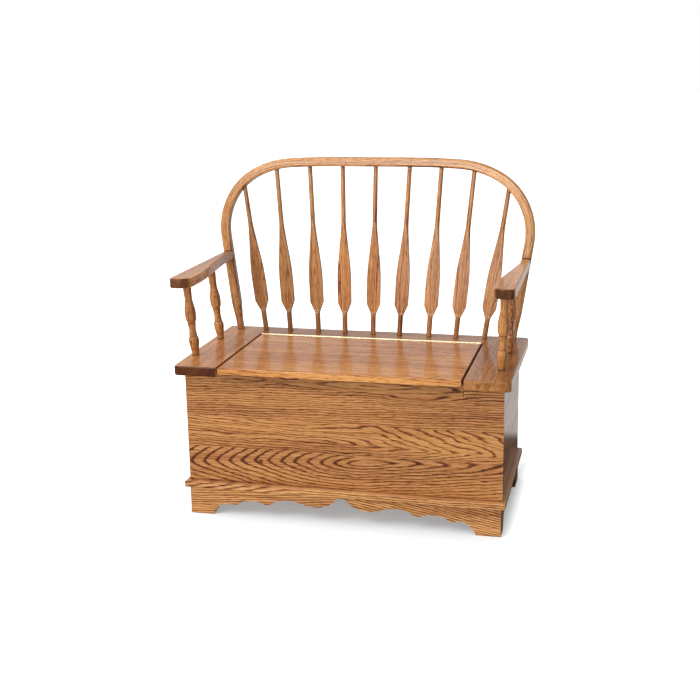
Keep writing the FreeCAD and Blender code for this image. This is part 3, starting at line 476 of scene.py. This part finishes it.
def knot(n, place, centre, size):
    """Darkness round the heart of a small knot."""
    along, across, _ = n.parts(place)
    ahead, aside = n.math("SUBTRACT", along, centre[0]), n.math("SUBTRACT", across, centre[1])
    away = n.math("SQRT", n.total(n.product(ahead, ahead), n.product(aside, aside)))
    return n.ramp(away, size * KNOT_HEART_SHARE, size, KNOT_DARKNESS, 0.0)


def grain_place(n, along, face):
    """Place of a point of the piece along the grain, across it and out from its face."""
    place = n.coordinate("Object")
    return n.vector(*(n.vector_math("DOT_PRODUCT", place, tuple(way))
                      for way in (along, face.cross(along), face)))


# How squarely a surface faces along the grain, for end grain, or sideways, for a board's edge
END_FACING = (0.3, 0.75)
CUT_ACROSS_FACING = (0.55, 0.95)
EDGE_FACING = (0.6, 0.95)

# Share of the noise's waves that is left on end grain, and of the contrast that is left on an edge
END_WAVES_SHARE = 0.1
EDGE_CONTRAST_SHARE = 0.25

# Heights between which a piece of the back darkens down to the seat
FOOT_HEIGHTS = (0.5, 0.53)


def ends_and_painted_shade(n, facing, beside, ends, painted_side_shade, foot):
    """Darkness of end grain, painted shade on a piece's edges, and darkness of an upright's foot."""
    cut = n.ramp(facing, *END_FACING, 0.0, ends)
    shade = n.math("MAXIMUM", cut, n.ramp(beside, *EDGE_FACING, 0.0, painted_side_shade))
    if not foot:
        return shade
    height = n.parts(n.coordinate("Object"))[2]
    return n.math("MAXIMUM", shade, n.ramp(height, *FOOT_HEIGHTS, foot, 0.0))


def oak(name, along, face, seed, figure=None, side=0.03, depth=0.07, taper=0.02, wander=0.05, warp=0.006,
        ring=0.0036, tone=1.0, tint=(1, 1, 1), contrast=0.72, ends=0.6, painted_side_shade=0.0, spot=None, thin=1.0,
        foot=0.0):
    """Oak for one piece, with its grain along one direction and its face square to another."""
    material, n = blank_material("oak_" + name)
    across = face.cross(along)
    place = grain_place(n, along, face)
    low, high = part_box(name)
    middle = (low + high) / 2
    about = n.vector_math("SUBTRACT", place, tuple(middle.dot(way) for way in (along, across, face)))
    if figure:
        age = figure(n, place)
    else:
        age = log_age(n, about, seed * LOG_SEED_STRETCH, side, depth, taper, wander, warp, ring)
    normal = n.coordinate("Normal")
    facing = n.math("ABSOLUTE", n.vector_math("DOT_PRODUCT", normal, tuple(along)))
    beside = n.math("ABSOLUTE", n.vector_math("DOT_PRODUCT", normal, tuple(across)))
    end_grain_and_shade = ends_and_painted_shade(n, facing, beside, ends, painted_side_shade, foot)
    plainer = n.ramp(beside, *EDGE_FACING, contrast, contrast * EDGE_CONTRAST_SHARE)
    # fibres cut across show as larger, softer spots
    coarse = n.ramp(facing, *CUT_ACROSS_FACING, 1.0, END_WAVES_SHARE)
    shifted = n.vector_math("ADD", about, tuple(seed * step for step in GRAIN_SEED_STEP))
    shifted = n.vector_math("MULTIPLY", shifted, n.vector(1.0, coarse, coarse))
    dark_spot = knot(n, place, *spot) if spot else 0.0
    finish_wood(n, shifted, age, end_grain_and_shade, tone, tint, plainer, dark_spot, thin)
    return material


# Metals: colour and roughness, and what tarnish and fine scratches do to them
BRASS = ((0.95, 0.8, 0.52), 0.2)
STEEL = ((0.62, 0.6, 0.57), 0.3)
TARNISH_EDGE = (0.35, 0.75)
TARNISH_SHADE = 0.78
TARNISH_ROUGHNESS = 0.12
SCRATCH_RELIEF = {"Strength": 0.2, "Distance": 0.05 * MM}


def metal(name, colour, rough):
    """Drawn metal with fine scratches and a little tarnish."""
    material, n = blank_material(name)
    place = n.coordinate("Object")
    tarnish = n.noise(place, *TARNISH)
    dull = tuple(part * TARNISH_SHADE for part in colour)
    tint = n.mix(n.ramp(tarnish, *TARNISH_EDGE), (*colour, 1), (*dull, 1))
    bump = n.add("ShaderNodeBump", {"Height": n.noise(place, *SCRATCHES), **SCRATCH_RELIEF})
    surface = n.add("ShaderNodeBsdfPrincipled", {
        "Base Color": tint, "Roughness": n.total(n.product(tarnish, TARNISH_ROUGHNESS), rough),
        "Metallic": 1.0, "Normal": bump.outputs[0]})
    n.add("ShaderNodeOutputMaterial", {"Surface": surface.outputs[0]})
    return material


def paint(name, material):
    """Gives a CAD node its finish."""
    for slot in nodes[name].material_slots:
        slot.material = material


# Share of an upright's height that counts as its end
END_SHARE = 0.02


def axis_of(name):
    """Direction of a long upright piece, from the middle of its lowest points to that of its highest."""
    points = [vertex.co for vertex in nodes[name].data.vertices]
    low, high = min(p.z for p in points), max(p.z for p in points)
    band = (high - low) * END_SHARE
    foot = [p for p in points if p.z < low + band]
    top = [p for p in points if p.z > high - band]
    return (sum(top, Vector()) / len(top) - sum(foot, Vector()) / len(foot)).normalized()


# Boards: grain direction, face, and how the log was cut and stained for each
BOARDS = {
    "seat_board_left": (Y, Z, dict(side=0.16, depth=0.04, warp=0.004, tone=1.15, ends=1.0)),
    "seat_board_right": (Y, Z, dict(side=0.14, depth=0.05, warp=0.004, tone=0.74, tint=(1, 0.95, 0.85),
                                    ends=0.0)),
    "back_rail": (X, Z, dict(side=0.08, depth=0.03, tone=0.76)),
    "lid_panel": (X, Z, dict(side=0.25, depth=0.05, warp=0.014, ring=0.008, tone=1.17,
                             tint=(1, 0.99, 0.9), contrast=0.95)),
    # its low tone and greener tint are painted shade under the edge of the lid
    "lid_apron": (X, -Y, dict(figure=apron_figure, contrast=0.75, tone=0.8, tint=(1, 1.04, 1), thin=1.8)),
    "front_panel": (X, -Y, dict(figure=front_panel_figure, contrast=1.02, thin=1.3, tone=0.93,
                                spot=((-0.240, 0.172), 0.009))),
    "side_panel_left": (Y, -X, dict(side=-0.15, depth=0.06)),
    # its low tone is painted shade, as the right side faces away from the key light
    "side_panel_right": (Y, X, dict(side=-0.15, depth=0.06, tone=0.68, tint=(1, 0.85, 0.6))),
    "back_panel": (X, Y, dict(side=-0.15, depth=0.08, wander=0.12)),
    "bottom_panel": (X, Z, dict(side=0.1, depth=0.08)),
    "skirt_front": (X, -Y, dict(figure=skirt_figure, tone=1.17, tint=(1, 1.1, 1.22), contrast=0.8)),
    "skirt_left": (Y, -X, dict(depth=0.06)),
    # its low tone is painted shade, as the right side faces away from the key light
    "skirt_right": (Y, X, dict(depth=0.06, tone=0.7)),
    "skirt_back": (X, Y, dict(depth=0.05)),
    "base_moulding_front": (X, -Y, dict(figure=moulding_figure, tone=1.12, tint=(1, 1.1, 1.25),
                                        contrast=1.0)),
    "base_moulding_left": (Y, -X, dict(side=0.1, depth=0.05)),
    # its low tone is painted shade, as the right side faces away from the key light
    "base_moulding_right": (Y, X, dict(side=0.1, depth=0.05, tone=0.8)),
    "base_rail_back": (X, Z, dict(side=0.1, depth=0.05)),
    "arm_left": (Y, Z, dict(side=0.1, depth=0.05, warp=0.003, contrast=0.5, ends=0.85)),
    "arm_right": (Y, Z, dict(side=0.12, depth=0.06, warp=0.003, contrast=0.5, ends=0.95)),
}

# Spindles and posts: one look, with four places in the log taken in turn, and some darker pieces
# Spindles and posts get painted shade on their edges, the faces turned left and right
UPRIGHTS = dict(depth=0.03, wander=0.02, warp=0.003, ring=0.0026, contrast=0.38, ends=0.3, painted_side_shade=0.5)
UPRIGHT_SIDES = (-0.018, -0.006, 0.006, 0.018)
DARKER_UPRIGHTS = {"back_spindle_1": 0.75, "back_spindle_2": 0.71, "back_spindle_3": 0.8,
                   "back_spindle_9": 0.92}
FIRST_UPRIGHT_SEED = 40
SPINDLE_FOOT_SHADE = 0.3

# Bow, as the part has it: its foot and straight part, the radius and share of the turn of each arc up
# to the middle, its lean and rake, and the back plane's distance from the seat's front edge
BOW_FOOT_HALF = 0.4355
BOW_BELOW_SEAT = 0.025
BOW_STRAIGHT = 0.301
BOW_ARCS = ((0.1954, 0.725), (0.281, 0.238), (2.3, 0.037))
BOW_ARC_STEPS = 24
BOW_LEAN = math.radians(8.3)
BACK_RAKE = math.radians(4.0)
BACK_LINE = 0.470

# Bow: its log, its stain, and painted shade on the faces of its rim and lower down its legs
BOW_LOG = dict(seed=9.2, side=0.03, depth=0.035, taper=0.004, wander=0.02, warp=0.004, ring=0.0034)
BOW_STAIN = dict(tone=1.12, tint=(1, 1.1, 1.2), contrast=0.45)
BOW_RIM_PAINTED_SHADE = (0.2, 0.7, 0.45, 0.0)
BOW_LEG_PAINTED_SHADE = (0.5, 0.9, 0.22, 0.0)


def bow_line():
    """Points of the bow's centre line in the back plane, across and up from the seat, from left to right,
    with the length run so far at each."""
    heading = math.pi / 2 - BOW_LEAN
    corner = Vector((BOW_FOOT_HALF, 0.0))
    way = Vector((math.cos(heading), math.sin(heading)))
    half = [corner - way * BOW_BELOW_SEAT, corner + way * BOW_STRAIGHT]
    corner = half[-1]
    turn = math.pi / 2 + BOW_LEAN
    for radius, share in BOW_ARCS:
        centre = corner + Vector((-math.sin(heading), math.cos(heading))) * radius
        for step in range(1, BOW_ARC_STEPS + 1):
            angle = heading + turn * share * step / BOW_ARC_STEPS
            half.append(centre + Vector((math.sin(angle), -math.cos(angle))) * radius)
        corner = half[-1]
        heading += turn * share
    line = [Vector((-point.x, point.y)) for point in half] + list(reversed(half))
    runs = [0.0]
    for first, last in zip(line, line[1:]):
        runs.append(runs[-1] + (last - first).length)
    return line, runs


def grain_along_bow(spot, line, runs, low_back):
    """Place of a point of the bow along its bent grain, outwards and backwards."""
    away = spot - low_back
    up = away.y * math.sin(BACK_RAKE) + away.z * math.cos(BACK_RAKE)
    behind = away.y * math.cos(BACK_RAKE) - away.z * math.sin(BACK_RAKE)
    here = Vector((spot.x, up))
    best = None
    for first, last, run in zip(line, line[1:], runs):
        step = last - first
        share = min(max((here - first).dot(step) / step.length_squared, 0.0), 1.0)
        off = here - (first + step * share)
        if best is None or off.length < best[0]:
            outward = off.dot(Vector((-step.y, step.x)).normalized())
            best = (off.length, (run + step.length * share, outward, behind))
    return best[1]


def add_bow():
    """The bow's own shape, with a grain that follows the bend."""
    mesh = nodes["bow"].data.copy()
    mesh.name = "bow_bent"
    bow = bpy.data.objects.new("bow_bent", mesh)
    scene.collection.objects.link(bow)
    line, runs = bow_line()
    seat_low, seat_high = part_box("seat_board_left")
    low_back = Vector((0.0, seat_low.y + BACK_LINE, seat_high.z))
    places = [grain_along_bow(vertex.co, line, runs, low_back) for vertex in mesh.vertices]
    grain = mesh.attributes.new("grain", "FLOAT_VECTOR", "POINT")
    grain.data.foreach_set("vector", [part for place in places for part in place])
    material, n = blank_material("oak_bow")
    place = n.add("ShaderNodeAttribute", attribute_name="grain").outputs["Vector"]
    age = log_age(n, place, **BOW_LOG)
    backward = n.math("ABSOLUTE", n.parts(n.coordinate("Normal"))[1])
    height = n.parts(n.coordinate("Object"))[2]
    # painted shade: darker on faces that look neither to the front nor to the back, and darker down the legs
    shade = n.math("MAXIMUM", n.ramp(backward, *BOW_RIM_PAINTED_SHADE), n.ramp(height, *BOW_LEG_PAINTED_SHADE))
    finish_wood(n, place, age, shade, **BOW_STAIN)
    mesh.materials.clear()
    mesh.materials.append(material)
    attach(bow, "bench")
    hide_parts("bow")


def dress_frame():
    for seed, (name, (along, face, look)) in enumerate(BOARDS.items(), start=1):
        paint(name, oak(name, along, face, seed, **look))
    upright = [name for name in nodes if name.startswith(("back_spindle", "arm_post"))]
    for seed, name in enumerate(sorted(upright), start=FIRST_UPRIGHT_SEED):
        along = axis_of(name)
        face = along.cross(X).normalized()
        foot = SPINDLE_FOOT_SHADE if name.startswith("back") else 0.0
        paint(name, oak(name, along, face, seed, side=UPRIGHT_SIDES[seed % len(UPRIGHT_SIDES)],
                        tone=DARKER_UPRIGHTS.get(name, 1.0), foot=foot, **UPRIGHTS))
    brass = metal("brass_hinge", *BRASS)
    for name in nodes:
        if name.startswith("hinge"):
            paint(name, brass)
    paint("arm_screws", metal("steel_screws", *STEEL))


# Floor: its half size and colour, the zone under the bench, how much faster the glow rises beside it than
# in front and behind, and the glow by distance from it, which is low near the bench as painted shadow
FLOOR_HALF = 30.0
FLOOR_COLOUR = (0.79, 0.85, 0.885, 1)
ZONE_HALF_WIDTH, ZONE_HALF_DEPTH = 0.45, 0.22
ZONE_SIDE_STEEPNESS = 8.0
FLOOR_GLOW_WITH_PAINTED_SHADOW = (-0.03, 0.5, 0.28, 1.0)

# Painted reflection: the glow that the gloss of the wood shows for the floor, dark near the bench as painted
# shade, and for the floor far behind it, light in place of a rising backdrop
PAINTED_FLOOR_REFLECTION = (0.4, 0.8, 0.05, 0.18)
PAINTED_BACKDROP_REFLECTION = (0.6, 0.72, 0.0, 0.85)


def add_floor():
    mesh = bpy.data.meshes.new("floor")
    corners = [(across * FLOOR_HALF, behind * FLOOR_HALF, 0)
               for across, behind in ((-1, -1), (1, -1), (1, 1), (-1, 1))]
    mesh.from_pydata(corners, [], [(0, 1, 2, 3)])
    floor = bpy.data.objects.new("floor", mesh)
    scene.collection.objects.link(floor)
    material, n = blank_material("floor_white")
    rays = n.add("ShaderNodeLightPath").outputs
    across, behind, _ = n.parts(n.coordinate("Object"))
    beside = n.math("SUBTRACT", n.math("ABSOLUTE", across), ZONE_HALF_WIDTH)
    beyond = n.math("SUBTRACT", n.math("ABSOLUTE", behind), ZONE_HALF_DEPTH)
    away = n.math("MAXIMUM", n.product(beside, ZONE_SIDE_STEEPNESS), beyond)
    # the camera sees the floor glow white; near the bench the glow is lower, a painted shadow over its lit
    # one
    glow_with_painted_shadow = n.product(n.ramp(away, *FLOOR_GLOW_WITH_PAINTED_SHADOW), rays["Is Camera Ray"])
    matt = n.add("ShaderNodeBsdfDiffuse", {"Color": FLOOR_COLOUR})
    glow = n.add("ShaderNodeEmission", {"Color": WHITE, "Strength": glow_with_painted_shadow})
    lit = n.add("ShaderNodeAddShader", {0: matt.outputs[0], 1: glow.outputs[0]})
    # painted reflection: glossy rays get a set glow, not the lit floor
    painted_reflection = n.math("MAXIMUM", n.ramp(beyond, *PAINTED_FLOOR_REFLECTION), n.ramp(behind, *PAINTED_BACKDROP_REFLECTION))
    mirrored = n.add("ShaderNodeEmission", {"Color": WHITE, "Strength": painted_reflection})
    both = n.add("ShaderNodeMixShader", {0: rays["Is Glossy Ray"], 1: lit.outputs[0], 2: mirrored.outputs[0]})
    n.add("ShaderNodeOutputMaterial", {"Surface": both.outputs[0]})
    mesh.materials.append(material)


# Brightness of the room: in the gloss of the wood from front to back, and as light from left to right
MIRRORED_ROOM = (-0.5, 0.2, 0.35, 0.75)
ROOM_LIGHT = (-0.9, 0.9, 0.85, 0.25)


def add_world():
    world = bpy.data.worlds.new("studio")
    scene.world = world
    world.use_nodes = True
    world.node_tree.nodes.clear()
    n = Nodes(world.node_tree)
    rays = n.add("ShaderNodeLightPath").outputs
    across, behind, _ = n.parts(n.coordinate("Generated"))
    shown = n.math("MAXIMUM", rays["Is Camera Ray"], rays["Is Transmission Ray"])
    mirrored = n.product(rays["Is Glossy Ray"], n.ramp(behind, *MIRRORED_ROOM))
    other = n.math("SUBTRACT", 1.0, n.math("MAXIMUM", shown, rays["Is Glossy Ray"]))
    level = n.total(shown, mirrored, n.product(other, n.ramp(across, *ROOM_LIGHT)))
    white = n.add("ShaderNodeBackground", {"Color": WHITE, "Strength": level})
    n.add("ShaderNodeOutputWorld", {"Surface": white.outputs[0]})


def add_light(name, place, target, size, power):
    data = bpy.data.lights.new(name, "AREA")
    data.shape = "RECTANGLE"
    data.size, data.size_y = size
    data.energy = power
    light = bpy.data.objects.new(name, data)
    scene.collection.objects.link(light)
    way = Vector(place) - Vector(target)
    light.matrix_world = Matrix.Translation(place) @ way.to_track_quat("Z", "Y").to_matrix().to_4x4()


add_camera()
dress_frame()
add_bow()
add_floor()
add_world()
add_light("key", place=(-1.9, -2.6, 2.9), target=(0, 0, 0.4), size=(2.2, 1.6), power=56.0)
add_light("front", place=(-0.35, -4.4, 0.8), target=(0.1, 0, 0.6), size=(1.0, 1.2), power=16.0)
add_light("strip", place=(-1.05, -4.4, 1.25), target=(0, 0, 1.0), size=(2.4, 0.4), power=30.0)
add_light("top", place=(0, -0.4, 3.2), target=(0, 0, 0.4), size=(2.4, 2.0), power=26.0)
scene.view_settings.view_transform = "Standard"
